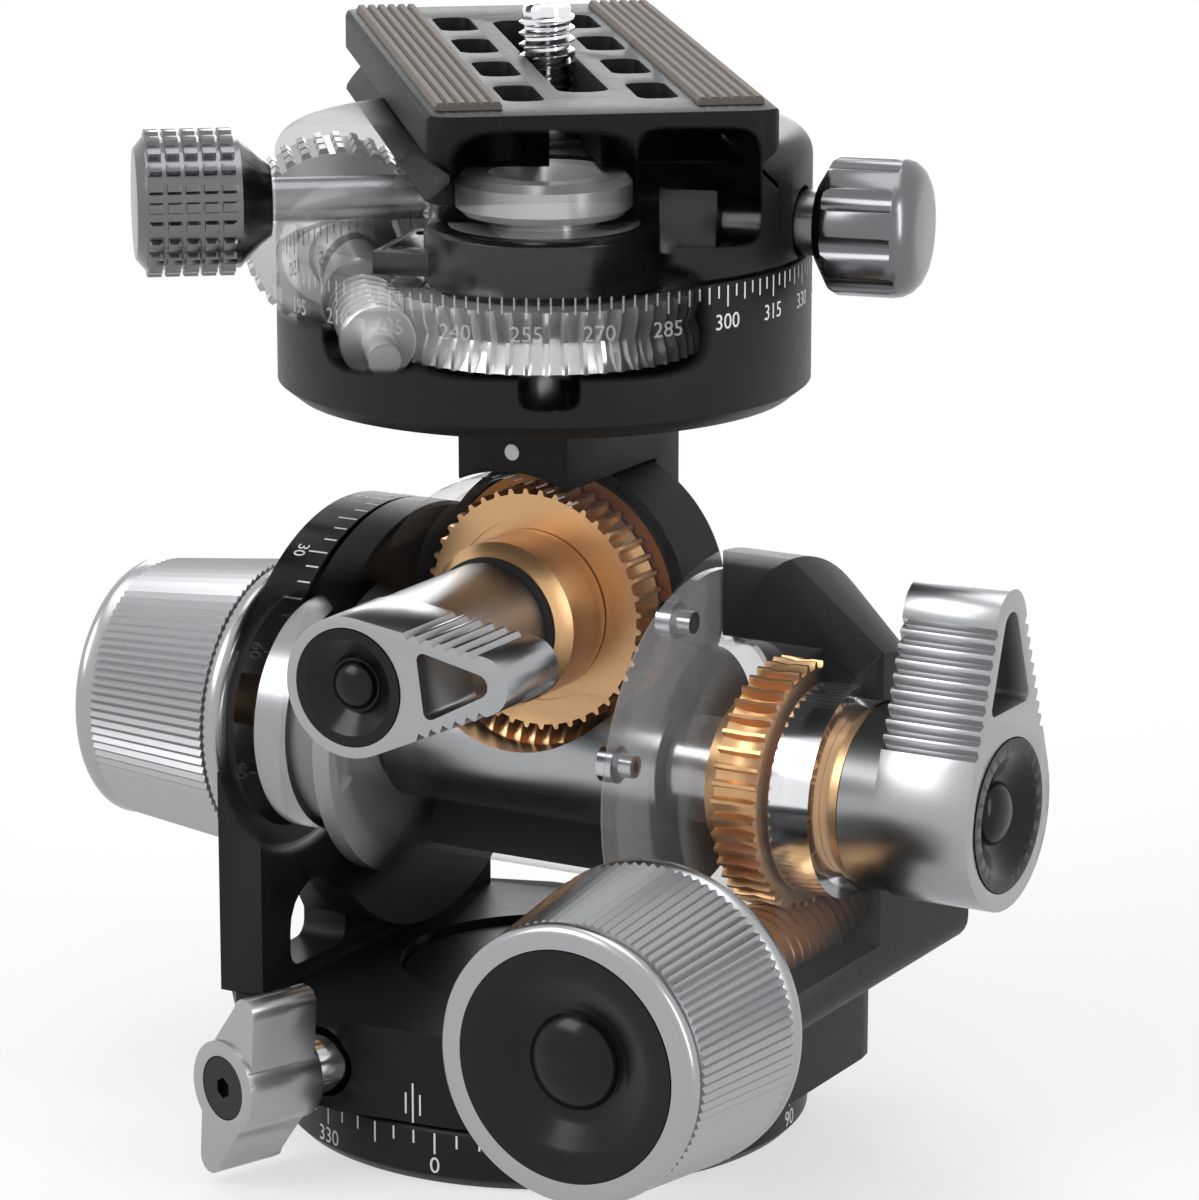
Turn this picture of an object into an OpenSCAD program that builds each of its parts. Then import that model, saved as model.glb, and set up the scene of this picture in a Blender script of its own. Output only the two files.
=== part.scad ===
// Geared tripod head: a panning base, two worm-driven tilt axes with release
// levers, and a geared panning clamp with a quick-release camera plate.
// Millimetres, +Z up. The origin is the centre of the base's underside.

/* [Base] */
// Diameter of the graduated base ring
base_d = 60; // [56:1:66]
// Height of the graduated base ring
base_h = 6.6; // [6:0.2:9]
// Diameter of the tapped hole for the tripod stud (3/8 inch thread)
stud_hole_d = 7.94; // [7.5:0.02:9]
// Diameter of the spigot that the bracket turns on
spigot_d = 24; // [20:0.5:28]
// Diameter of the disc that keeps the bracket on the spigot
retainer_d = 32.6; // [30:0.2:36]

/* [Bracket] */
// Thickness of the bracket's floor
floor_t = 10.5; // [9.5:0.5:12]
// Distance of the left upright's inner face from the turning axis
upright_x = 20.4; // [20:0.1:22]
// Thickness of the left upright
upright_t = 5.6; // [4.5:0.1:7]
// Front edge of the left upright, from the turning axis
upright_front = 27.8; // [26:0.2:30]
// Back edge of the left upright, from the turning axis
upright_back = 22; // [20:0.5:26]
// Radius of the left upright's graduated round top
scale_r = 26; // [25:0.2:28]
// Height of the roll axis above the base
roll_z = 42.7; // [42:0.1:46]

/* [Gearbox on the right] */
// Where the gearbox starts, from the turning axis
gearbox_x = 22.1; // [22:0.1:24]
// Length of the gearbox
gearbox_len = 19.9; // [19.5:0.1:22]
// Radius of the gearbox round the roll axis
gearbox_r = 25; // [24:0.5:27]
// Half length of the gearbox round the roll worm
gearbox_half_y = 23.6; // [22:0.2:26]

/* [Worm gears] */
// Teeth of each tilt wheel
tilt_teeth = 44; // [38:1:48]
// Rim radius of each tilt wheel
tilt_wheel_r = 13.8; // [13.4:0.1:14.4]
// Width of each tilt wheel
tilt_wheel_w = 5.2; // [4.6:0.2:6]
// Distance between the pitch wheel and its worm
pitch_centres = 16.3; // [16:0.1:17]
// Tip radius of the pitch worm
pitch_worm_r = 3.7; // [3.4:0.1:4]
// Distance between the roll wheel and its worm
roll_centres = 18.1; // [17.9:0.1:18.6]
// Tip radius of the roll worm
roll_worm_r = 5.5; // [5.2:0.1:5.8]
// Teeth of the panning wheel
pan_teeth = 50; // [44:1:56]
// Rim radius of the panning wheel
pan_wheel_r = 17.3; // [16.8:0.1:18]
// Width of the panning wheel
pan_wheel_w = 6.9; // [6:0.1:8]
// Distance between the panning wheel and its worm
pan_centres = 19.5; // [19.2:0.1:20]
// Tip radius of the panning worm
pan_worm_r = 3.9; // [3.6:0.1:4.2]
// Depth of a wheel's teeth
tooth_depth = 1.2; // [1:0.1:1.4]
// Place of the roll wheel along the roll axis
roll_wheel_x = 31.2; // [30.6:0.1:31.8]

/* [Drive knobs] */
// Radius of a drive knob at its inner end
knob_r = 17; // [15:0.5:18]
// Radius of a drive knob at its outer end
knob_tip_r = 15.2; // [14:0.2:16.5]
// Length of a drive knob
knob_len = 21.5; // [18:0.5:23]
// Ribs round a drive knob
knob_ribs = 96; // [60:2:110]
// Depth of a drive knob's ribs
rib_depth = 0.45; // [0.3:0.05:0.7]
// Outer face of the pitch knob, from the turning axis
pitch_knob_end = 54.5; // [54:0.5:58]
// Outer face of the roll knob, from the turning axis
roll_knob_end = 50; // [50:0.5:54]

/* [Release levers] */
// Outer face of the pitch lever, from the turning axis
pitch_lever_end = 41.5; // [41:0.5:45]
// Radius of the pitch lever's boss
pitch_boss_r = 7.7; // [7.2:0.1:8.4]
// Reach of the pitch lever's tip from its axis
pitch_reach = 16.6; // [14:0.2:18]
// Outer face of the roll lever, from the turning axis
roll_lever_end = 57.7; // [57:0.5:60]
// Radius of the roll lever's boss
roll_boss_r = 10.2; // [9.8:0.1:10.4]
// Reach of the roll lever's tip from its axis
roll_reach = 21.5; // [19:0.5:23]

/* [Top drum] */
// Height of the drum's underside
drum_z = 84; // [84:0.5:88]
// Height of the graduated drum
drum_h = 15.9; // [15.5:0.1:18]
// Radius of the drum and the clamp
drum_r = 29.6; // [29:0.1:32]
// Wall of the drum
drum_wall = 2.3; // [2:0.1:2.8]
// Turn of the clamp and plate from the bracket, in degrees
clamp_turn = 38.1; // [30:0.1:45]
// Slope of the panning worm, in degrees
pan_slope = 5.5; // [4:0.5:7]

/* [Clamp and plate] */
// Width of the camera plate
plate_w = 38; // [38:0.5:40]
// Length of the camera plate
plate_l = 87.5; // [70:0.5:100]
// Thickness of the camera plate
plate_t = 9.4; // [9:0.2:11]
// Depth of the plate's V grooves
groove_d = 2.3; // [1.8:0.1:2.8]
// Sideways offset of the plate and its channel from the turning axis
plate_side = 3.4; // [0:0.1:4]
// Lengthwise offset of the plate's middle from the turning axis
plate_shift = 19.9; // [0:0.5:25]
// Diameter of the camera screw (1/4 inch thread)
screw_d = 6.35; // [6:0.05:6.5]
// How far the camera screw stands out of the plate
screw_out = 5.7; // [5:0.1:7]
// Height of the clamp's knobs above the drum's underside
clamp_knob_up = 21.2; // [20.5:0.1:22]
// Radius of the clamp knob
clamp_knob_r = 8.1; // [7:0.1:9]
// Radius of the pan lock knob
lock_knob_r = 7.7; // [7:0.1:8.5]

/* [Fits] */
// Radial clearance of a running fit
run = 0.05; // [0.03:0.01:0.08]
// Gap between faces that pass each other
gap = 0.3; // [0.2:0.05:0.4]
// Gap between a worm and its wheel, tip to root
mesh_gap = 0.2; // [0.15:0.05:0.3]

/* [Hidden] */
$fn = 64;
e = 0.01;
base_r = base_d / 2;
floor_z = base_h + gap;
floor_top = floor_z + floor_t;
spigot_top = floor_top - 3.7;
lock_z = floor_z + floor_t / 2;
lock_turn = -110;
lock_knob_s = base_r + 6.2;
pitch_z = roll_z + pitch_centres;
worm_b_z = roll_z - roll_centres;
gearbox_end = gearbox_x + gearbox_len;
drum_top = drum_z + drum_h;
drum_in = drum_r - drum_wall;
clamp_z = drum_top + gap;
clamp_floor = drum_z + 24.4;
plate_z = clamp_floor + gap;
plate_top = plate_z + plate_t;
jaw_top = plate_top - 4.7;
groove_z = plate_z + 2.6;
groove_flat = 1.1;
groove_up = groove_d * 0.6;
knob_z = drum_z + clamp_knob_up;
lock_knob_turn = -25.4;
tube_r = 8;
sleeve_r = 12.5;
disc_r = 24.6;
disc_up = 1.5;
disc_x = upright_x - gap;
disc_t = 5.1;
mid_right = 19.7;
saddle_r = 16.3;
saddle_back = 12.7;
barrel_r = 13.8;
seal_y = 11.2;
wheel_room = 0.8;
hub_r = 9.2;
pan_mid = drum_z + 8.15;
pan_hub_z = pan_mid + pan_wheel_w / 2 + gap;
drum_gap = 2.8 + gap;
drum_exit = sqrt(pow(drum_r, 2) - pow(pan_centres, 2));
hub_ring_z = clamp_z + 2.3;
tip_half = 0.2;
root_half = 0.42;
spindle_r = 6;

// Helpers

// Turns a shape drawn along Z so that it lies along X
module along_x() { rotate([0, 90, 0]) children(); }

// Turns a shape drawn along Z so that it lies along Y
module along_y() { rotate([-90, 0, 0]) children(); }

// Places children drawn along Z on the roll axis, starting at x
module on_roll(x) { translate([x, 0, roll_z]) along_x() children(); }

// Places children drawn along Z on the pitch axis, starting at y
module on_pitch(y) { translate([0, y, pitch_z]) along_y() children(); }

// Places children drawn along Z on the roll worm's axis, starting at y
module on_roll_worm(y) { translate([roll_wheel_x, y, worm_b_z]) along_y() children(); }

// Turns children to the clamp's own directions
module in_clamp() { rotate([0, 0, clamp_turn]) children(); }

// The clamp's directions again, moved sideways to the plate's middle
module in_plate() { in_clamp() translate([plate_side, 0, 0]) children(); }

// Places children drawn along Z on the panning worm's axis
module on_pan_worm(s) {
    in_clamp() translate([-pan_centres, 0, pan_mid]) rotate([pan_slope - 90, 0, 0])
        translate([0, 0, s]) children();
}

// A ring drawn along Z
module ring(h, r_out, r_in) {
    difference() {
        cylinder(h = h, r = r_out);
        translate([0, 0, -1]) cylinder(h = h + 2, r = r_in);
    }
}

// A disc with both edges bevelled
module bevelled(h, r, bevel) {
    rotate_extrude() polygon([[0, 0], [r - bevel, 0], [r, bevel], [r, h - bevel], [r - bevel, h], [0, h]]);
}

// An arc of points, for outlines
function arc(cx, cy, r, from, to, n) =
    [for (i = [0:n]) let (t = from + (to - from) * i / n) [cx + r * cos(t), cy + r * sin(t)]];

// Worm gearing

// Pitch radius of a wheel whose worm has the tip radius worm_r
function wheel_pitch_r(centres, worm_r) = centres - worm_r - mesh_gap + tooth_depth / 2;
// Lead of a one-start worm for a wheel
function worm_lead(centres, worm_r, teeth) = 2 * PI * wheel_pitch_r(centres, worm_r) / teeth;

// Throated wheel along Z: its tooth tips and roots follow the worm's round.
// The toothed rim is a ring of its own on a plain bored web.
module throated_wheel(centres, worm_r, teeth, rim_r, width, bore) {
    slices = 4;
    hollow = function (r, y) centres - sqrt(max(0, pow(r + mesh_gap, 2) - y * y));
    // a curve that comes near its limit ends on it, so that no sliver is left
    snap = function (r, limit) r > limit - 0.1 ? limit : r;
    root = function (y) snap(hollow(worm_r, y), rim_r - 0.6);
    tip = function (y) snap(hollow(worm_r - tooth_depth, y), rim_r);
    web_r = hollow(worm_r, 0) - 2;
    n = teeth * 4;
    low = (slices + 1) * n;
    high = low + teeth;
    turned = function (x, y, t, z) [x * cos(t) - y * sin(t), x * sin(t) + y * cos(t), z];
    outer = [for (s = [0:slices], k = [0:teeth - 1])
        let (y = -width / 2 + width * s / slices, t = 360 * k / teeth)
        each [turned(root(y), -root_half, t, y), turned(tip(y), -tip_half, t, y),
              turned(tip(y), tip_half, t, y), turned(root(y), root_half, t, y)]];
    inner = [for (z = [-width / 2, width / 2], k = [0:teeth - 1]) turned(web_r, 0, 360 * (k - 0.5) / teeth, z)];
    sides = [for (s = [0:slices - 1], k = [0:n - 1])
        let (a = s * n + k, b = s * n + (k + 1) % n)
        each [[a, a + n, b + n], [a, b + n, b]]];
    ends = [for (k = [0:teeth - 1])
        let (o = 4 * k, p = 4 * ((k + 1) % teeth), t = slices * n, m = (k + 1) % teeth)
        each [[o, o + 1, o + 2, o + 3, low + m, low + k], [o + 3, p, low + m],
              [high + k, high + m, t + o + 3, t + o + 2, t + o + 1, t + o], [high + m, t + p, t + o + 3],
              [low + m, high + m, high + k, low + k]]];
    polyhedron(points = concat(outer, inner), faces = concat(sides, ends), convexity = 10);
    translate([0, 0, 0.2 - width / 2]) ring(width - 0.4, web_r + 0.6, bore);
}

// One-start right-hand worm thread along Z; at z = 0 it lies on the +X side
module worm_thread(centres, worm_r, teeth, length) {
    lead = worm_lead(centres, worm_r, teeth);
    steps = 20;
    half = floor(length / lead * steps / 2);
    rings = 2 * half;
    sunk = 0.25;
    low = worm_r - tooth_depth - sunk;
    low_half = root_half + sunk * (root_half - tip_half) / tooth_depth;
    pts = [for (i = [0:rings])
        let (t = 360 * (i - half) / steps, z = lead * (i - half) / steps,
             grow = min(1, i / 8, (rings - i) / 8), top = low + (worm_r - low) * max(grow, 0.02))
        each [for (c = [[low, -low_half], [top, -tip_half], [top, tip_half], [low, low_half]])
            [c[0] * cos(t), c[0] * sin(t), z + c[1]]]];
    sides = [for (i = [0:rings - 1], k = [0:3])
        let (a = i * 4 + k, b = i * 4 + (k + 1) % 4)
        each [[a, b, b + 4], [a, b + 4, a + 4]]];
    caps = [[3, 2, 1, 0], [for (k = [0:3]) rings * 4 + k]];
    polyhedron(points = pts, faces = concat(sides, caps), convexity = 10);
}

// Base

module base_ring() {
    color([0.1, 0.1, 0.11]) difference() {
        union() {
            rotate_extrude() polygon([[0, 0], [base_r - 1.2, 0], [base_r, 1.2], [base_r, base_h - 0.4],
                                      [base_r - 0.4, base_h], [0, base_h]]);
            cylinder(h = spigot_top, d = spigot_d);
        }
        translate([0, 0, -1]) cylinder(h = spigot_top + 2, d = stud_hole_d);
        for (t = [30, 150, 270]) rotate([0, 0, t]) translate([spigot_d / 2 - 3.6, 0, spigot_top - 5])
            cylinder(h = 6, r = 1.2);
    }
}

module retainer_disc() {
    color([0.09, 0.09, 0.1]) difference() {
        translate([0, 0, spigot_top]) bevelled(2.8, retainer_d / 2, 0.4);
        translate([0, 0, spigot_top - 1]) cylinder(h = 5, r = 5.5);
        translate([0, 0, spigot_top + 2]) cylinder(h = 1, r1 = 5.5, r2 = 6.5);
        for (t = [30, 150, 270]) rotate([0, 0, t]) translate([spigot_d / 2 - 3.6, 0, spigot_top - 1]) {
            cylinder(h = 5, r = 1.3);
            translate([0, 0, 2.4]) cylinder(h = 3, r = 2.3);
        }
    }
}

module retainer_screws() {
    color([0.35, 0.35, 0.37])
        for (t = [30, 150, 270]) rotate([0, 0, t]) translate([spigot_d / 2 - 3.6, 0, spigot_top]) difference() {
            union() {
                translate([0, 0, -4]) cylinder(h = 5.4, r = 1.15);
                translate([0, 0, 1.4]) cylinder(h = 1.3, r = 2.2);
            }
            translate([0, 0, 1.9]) cylinder(h = 1.5, r = 1.1, $fn = 6);
        }
}

// Bracket

// Outline of the bracket's floor, seen from above
module floor_outline() {
    left = -upright_x - upright_t;
    polygon(concat([[left, upright_back], [left, -upright_front + 2], [left + 2, -upright_front],
                    [-8, -base_r - 0.9], [-3, -base_r - 0.2]],
                   arc(0, 0, base_r, -88, -42, 10),
                   [[33.7, -14]],
                   arc(33.7 - 7, 20.5 - 7, 7, 0, 90, 5),
                   [[8, upright_back + 6]], [[-14, upright_back + 4]]));
}

// Outer form of the gearbox: a round cone end over a box for the roll worm
module gearbox_form() {
    box_x = gearbox_x - 1.6;
    union() {
        on_roll(gearbox_x) rotate_extrude()
            polygon([[0, 0], [gearbox_r, 0], [gearbox_r, 8.4], [gearbox_r - 0.9, 9.6], [16.2, gearbox_len - 0.4],
                     [15.8, gearbox_len], [0, gearbox_len]]);
        translate([0, gearbox_half_y, 0]) rotate([90, 0, 0]) linear_extrude(height = 2 * gearbox_half_y)
            polygon(concat([[box_x, floor_top - e], [33.7, floor_top - e]],
                           arc(gearbox_end - 3, floor_top + 5, 3, -80, 0, 5),
                           [[gearbox_end, roll_z - 4], [gearbox_end - 7, roll_z], [box_x, roll_z - 9]]));
    }
}

// Everything that is hollow in the gearbox
module gearbox_room() {
    worm_room = roll_worm_r + 0.7;
    on_roll(gearbox_x - 3) cylinder(h = roll_wheel_x + tilt_wheel_w / 2 + wheel_room - gearbox_x + 3,
                                    r = tilt_wheel_r + 1.6);
    on_roll(gearbox_x) cylinder(h = gearbox_len - 2.6, r = 11.8);
    on_roll(gearbox_x) cylinder(h = gearbox_len + 1, r = roll_boss_r + gap);
    on_roll_worm(-gearbox_half_y + 5) cylinder(h = 2 * gearbox_half_y - 9, r = worm_room);
    on_roll_worm(-gearbox_half_y - 1) cylinder(h = 2 * gearbox_half_y - 2, r = 3.5 + run);
    // room for the mid body's turning parts on the inner side
    on_roll(0) cylinder(h = gearbox_x, r = 24);
}

// The part of the gearbox that the cover closes
module cover_zone() {
    translate([gearbox_x - 3, -gearbox_half_y - 2, worm_b_z + 0.6]) cube([gearbox_len + 6, gearbox_half_y + 3, 60]);
}

module pan_bracket() {
    left = -upright_x - upright_t;
    color([0.1, 0.1, 0.11]) difference() {
        union() {
            translate([0, 0, floor_z]) linear_extrude(height = floor_t) floor_outline();
            translate([left, -upright_front, floor_top - e]) cube([upright_t, upright_front + upright_back, roll_z - floor_top]);
            on_roll(left) cylinder(h = upright_t, r = scale_r);
            difference() {
                gearbox_form();
                cover_zone();
            }
        }
        gearbox_room();
        // lower left corner, sloped towards the base ring
        translate([0, 40, 0]) rotate([90, 0, 0]) linear_extrude(height = 80)
            polygon([[left - 1, floor_z - 1], [left + 4, floor_z - 1], [left + 4, floor_z + 6.3],
                     [left, floor_top - 0.4], [left - 1, floor_top - 0.4]]);
        // window in the upright
        translate([left - 1, 0, 0]) rotate([90, 0, 90]) linear_extrude(height = upright_t + 2)
            polygon(concat(arc(-20.2, floor_top + 3.6, 1.8, 180, 270, 4), arc(-12.3, floor_top + 3.6, 1.8, 270, 360, 4),
                           [[-10.5, floor_top + 5]], arc(-17, floor_top + 6, 5, 30, 180, 8)));
        // running bores
        on_roll(left - 1) cylinder(h = upright_t + 2, r = sleeve_r + run);
        translate([0, 0, floor_z - 1]) cylinder(h = floor_t, d = spigot_d + 2 * run);
        translate([0, 0, spigot_top - run]) cylinder(h = floor_t, d = retainer_d + 2 * gap);
        // bore of the base lock
        rotate([0, 0, lock_turn]) translate([spigot_d / 2 - 1, 0, lock_z]) along_x() cylinder(h = 40, r = 2.5 + run);
        rotate([0, 0, lock_turn]) translate([base_r - 0.5, 0, lock_z]) along_x() cylinder(h = 20, r = 4);
    }
}

module gearbox_cover() {
    color([0.8, 0.82, 0.84, 0.35]) difference() {
        intersection() {
            gearbox_form();
            cover_zone();
        }
        gearbox_room();
    }
}

module roll_bearing() {
    start = roll_wheel_x + tilt_wheel_w / 2 + wheel_room;
    color([0.8, 0.81, 0.83]) on_roll(start) ring(gearbox_end - 2.6 - start, 11.8, 9 + run);
}

// Base lock

// Places children drawn along Z on the base lock's axis, outwards
module on_base_lock(s) {
    rotate([0, 0, lock_turn]) translate([s, 0, lock_z]) along_x() children();
}

// Outline of the wing knob's two swept wings
module wing_outline() {
    polygon([for (t = [0, 180], p = concat([[0, -4.9]], arc(9.4, 2.0, 1.8, -70, 110, 6), [[4.6, 4.2], [1.5, 4.6]]))
        [p[0] * cos(t) - p[1] * sin(t), p[0] * sin(t) + p[1] * cos(t)]]);
}

module base_lock_knob() {
    color([0.62, 0.63, 0.65]) difference() {
        on_base_lock(lock_knob_s) {
            cylinder(h = 9.8, r = 5.3);
            translate([0, 0, 0.6]) rotate([0, 0, 148]) linear_extrude(height = 8.6) wing_outline();
        }
        on_base_lock(lock_knob_s - 2.2) cylinder(h = 9, r = 2.5);
        on_base_lock(lock_knob_s + 8.4) cylinder(h = 3, r = 3.6);
    }
}

// The stud's thin tip reaches the spigot under the retainer disc
module base_lock_stud() {
    shoulder = retainer_d / 2 + 2 * gap;
    color([0.75, 0.76, 0.78]) {
        on_base_lock(spigot_d / 2 + gap) cylinder(h = shoulder - spigot_d / 2, r = spigot_top - lock_z - gap);
        on_base_lock(shoulder) cylinder(h = lock_knob_s + 6.5 - shoulder, r = 2.5);
        on_base_lock(base_r + 0.6) ring(5.6, 3.4, 2.5 - e);
    }
}

module base_lock_screw() {
    color([0.08, 0.08, 0.09]) difference() {
        on_base_lock(lock_knob_s + 8.4) cylinder(h = 1.3, r = 3.5);
        on_base_lock(lock_knob_s + 8.8) cylinder(h = 2, r = 1.2, $fn = 6);
    }
}

// Mid body, turning about the roll axis

// The casting's whole outer form
module mid_form() {
    translate([0, 0, disc_up]) on_roll(-disc_x) bevelled(disc_t, disc_r, 0.4);
    on_roll(-disc_x + disc_t - e) cylinder(h = mid_right + disc_x - disc_t, r = barrel_r);
    on_pitch(-9.2) cylinder(h = saddle_back + 9.2, r = saddle_r);
}

// What is hollow in the casting
module mid_room() {
    on_roll(-disc_x - 1) cylinder(h = mid_right + disc_x + 2, r = tube_r + 0.02);
    on_pitch(-tilt_wheel_w / 2 - wheel_room) cylinder(h = tilt_wheel_w + 2 * wheel_room + 1.6, r = tilt_wheel_r + 1.4);
    on_pitch(-seal_y - gap) cylinder(h = seal_y + gap, r = hub_r + run);
    on_pitch(0) cylinder(h = 30, r = 4 + run);
    on_roll(-disc_x - 1) cylinder(h = 3.1, r = 17.3);
}

// The front half of the casting, which the clear cover takes
module cover_half() {
    deep = tilt_wheel_w / 2 + wheel_room;
    intersection() {
        translate([-disc_x + disc_t + 0.02, -20, roll_z - 20]) cube([60, 20 + deep, 60]);
        union() {
            translate([-40, -20, roll_z - 30]) cube([80, 20, 80]);
            on_pitch(-12) cylinder(h = 20, r = saddle_r + 1);
        }
    }
}

module mid_body() {
    color([0.11, 0.11, 0.12]) difference() {
        mid_form();
        mid_room();
        cover_half();
    }
}

module mid_cover() {
    color([0.8, 0.82, 0.84, 0.3]) difference() {
        intersection() {
            mid_form();
            cover_half();
        }
        mid_room();
    }
}

module worm_tube() {
    color([0.72, 0.73, 0.75]) difference() {
        on_roll(-disc_x + 3.2) ring(mid_right + disc_x - 4.4, tube_r, pitch_worm_r + 0.5);
        on_pitch(-9) cylinder(h = 18, r = tilt_wheel_r + 1.4);
    }
}

module left_trunnion() {
    color([0.55, 0.56, 0.58]) on_roll(0) difference() {
        union() {
            translate([0, 0, -disc_x - 0.15]) cylinder(h = 2.15, r = 17.2);
            translate([0, 0, -30.2]) cylinder(h = 30.2 - disc_x + 0.5, r = sleeve_r);
        }
        translate([0, 0, -31]) cylinder(h = 30, r = 7);
    }
}

module trunnion_ring() {
    start = upright_x + upright_t + gap;
    color([0.7, 0.71, 0.73]) on_roll(-start - 4.2) ring(4.2, 13.5, sleeve_r + 0.01);
}

module worm_bush() {
    color([0.72, 0.52, 0.28]) {
        on_roll(-30) ring(6, 6.98, 3 + run);
        on_roll(mid_right - 5) ring(4, pitch_worm_r + 0.48, 3 + run);
    }
}

module roll_flange() {
    color([0.85, 0.87, 0.9, 0.35]) difference() {
        on_roll(mid_right) {
            bevelled(2, 22.6, 0.5);
            cylinder(h = 5.6, r = 15);
        }
        on_roll(mid_right - 1) cylinder(h = 9, r = 6);
        for (t = [0:60:300]) on_roll(mid_right - 1) rotate([0, 0, t + 15]) translate([18.6, 0, 0]) cylinder(h = 4, r = 1.3);
    }
}

module flange_screws() {
    color([0.7, 0.71, 0.73])
        for (t = [0:60:300]) on_roll(mid_right - 4) rotate([0, 0, t + 15]) translate([18.6, 0, 0]) difference() {
            union() {
                translate([0, 0, 2.6]) cylinder(h = 3.4, r = 1.25);
                translate([0, 0, 2.2]) cylinder(h = 1.8, r = 2.1);
            }
            translate([0, 0, 5]) cylinder(h = 2, r = 0.7, $fn = 6);
        }
}

module roll_hub() {
    color([0.75, 0.76, 0.78]) on_roll(mid_right - 0.9) ring(gearbox_end - mid_right + 3.5, 5.98, 3);
}

module roll_wheel() {
    color([0.8, 0.58, 0.32]) on_roll(roll_wheel_x) rotate([0, 0, 180 / tilt_teeth])
        throated_wheel(roll_centres, roll_worm_r, tilt_teeth, tilt_wheel_r, tilt_wheel_w, 6);
}

module roll_sleeve() {
    start = mid_right + 5.6;
    low = roll_wheel_x - tilt_wheel_w / 2;
    high = roll_wheel_x + tilt_wheel_w / 2;
    color([0.75, 0.56, 0.32]) {
        on_roll(start) ring(low - start, 9, 6);
        on_roll(high) ring(gearbox_end - 1.3 - high, 9, 6);
    }
}

module roll_ring() {
    color([0.72, 0.5, 0.26]) on_roll(gearbox_end - 1.3) ring(1, 9.6, 6);
}

// Levers

// Outline of a release lever: a boss and a tapered grip with grooved edges
module lever_outline(boss_r, reach, tip_r, grooves) {
    a = asin((boss_r - tip_r) / reach);
    pitch = 1.55;
    difference() {
        polygon(concat(arc(0, 0, boss_r, 90 - a, 270 + a, 24), arc(reach, 0, tip_r, -90 + a, 90 - a, 10)));
        for (s = [-1, 1], i = [0:grooves - 1])
            let (d = reach - 0.6 - pitch * i, r = boss_r + (tip_r - boss_r) * d / reach)
            translate([d, s * (r / cos(a) - 0.05)]) rotate(-s * a) rotate(45) square(0.9, center = true);
        // rounded triangular window
        hull() {
            translate([reach - 0.6, 0]) circle(r = tip_r - 1.9, $fn = 24);
            for (s = [-1, 1]) translate([boss_r + 2.1, s * (boss_r * 0.36)]) circle(r = 0.8, $fn = 24);
        }
    }
}

// A knob's black centre: a flat rim, a cone sinking inwards and a dome
module dished_cap(r, depth) {
    dome = r * 0.42;
    rotate_extrude() polygon(concat(
        [[0, 0], [r, 0], [r, depth], [r * 0.82, depth], [dome + 0.25, depth * 0.45]],
        [for (i = [0:6]) let (t = 90 * i / 6) [dome * cos(t), depth * 0.45 + depth * 0.5 * sin(t)]]));
}

module roll_lever() {
    color([0.72, 0.73, 0.75]) difference() {
        union() {
            on_roll(gearbox_end + 0.1) cylinder(h = roll_lever_end - gearbox_end - 0.5, r = roll_boss_r);
            on_roll(gearbox_end + 4.5) rotate([0, 0, 180])
                linear_extrude(height = roll_lever_end - gearbox_end - 4.5)
                    lever_outline(roll_boss_r + 0.4, roll_reach, 3.6, 9);
        }
        on_roll(gearbox_end - 1) cylinder(h = 4, r = 5.98 + run);
        on_roll(roll_lever_end - 3.2) cylinder(h = 4, r = 8.6);
    }
}

module roll_lever_cap() {
    color([0.06, 0.06, 0.07]) on_roll(roll_lever_end - 3.2) dished_cap(8.5, 3.3);
}

module pitch_lever() {
    barrel = -pitch_lever_end;
    color([0.72, 0.73, 0.75]) difference() {
        union() {
            on_pitch(barrel + 0.4) cylinder(h = pitch_lever_end - seal_y - 2, r = pitch_boss_r - 0.2);
            on_pitch(barrel) rotate([0, 0, -8]) linear_extrude(height = 10.5)
                lever_outline(pitch_boss_r, pitch_reach, 3.2, 6);
        }
        on_pitch(-seal_y - 6) cylinder(h = 8, r = 4 + run);
        on_pitch(barrel - 1) cylinder(h = 3.8, r = 6.5);
    }
}

module pitch_lever_cap() {
    color([0.06, 0.06, 0.07]) on_pitch(-pitch_lever_end + 2.8) rotate([180, 0, 0]) dished_cap(6.4, 2.9);
}

// Ribbed drive knobs

// A conical knob along Z with its outer face at the top
module drive_knob() {
    rib_len = knob_len - 5.2;
    step = 360 / knob_ribs;
    star = function (r) [for (i = [0:knob_ribs - 1], h = [0, 1])
        let (t = step * (i + h / 2), s = r - h * rib_depth) [s * cos(t), s * sin(t)]];
    difference() {
        union() {
            rotate_extrude() polygon(concat(
                [[0, 0], [knob_r - 2.4, 0]],
                [for (i = [0:5]) let (t = -90 + 120 * i / 5) [knob_r - 1.2 + 1.2 * cos(t), 1.4 + 1.4 * sin(t)]],
                [[knob_r - rib_depth - 0.3, 3], [knob_tip_r - rib_depth - 0.1, knob_len - 2.4]],
                [for (i = [0:5]) let (t = -20 + 110 * i / 5) [knob_tip_r - 1 + cos(t), knob_len - 1.1 + 1.1 * sin(t)]],
                [[0, knob_len]]));
            translate([0, 0, 2.7]) linear_extrude(height = rib_len, scale = knob_tip_r / knob_r) polygon(star(knob_r));
        }
        translate([0, 0, knob_len - 4]) cylinder(h = 5, r = 12.6);
        translate([0, 0, -1]) cylinder(h = 8.5, r = 13.9);
        translate([0, 0, -1]) cylinder(h = knob_len, r = 3);
    }
}

module pitch_knob() {
    color([0.72, 0.73, 0.75]) on_roll(-pitch_knob_end + knob_len) rotate([180, 0, 0]) drive_knob();
}

module pitch_knob_cap() {
    color([0.06, 0.06, 0.07]) on_roll(-pitch_knob_end + 4) rotate([180, 0, 0]) dished_cap(12.5, 4.1);
}

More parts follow.
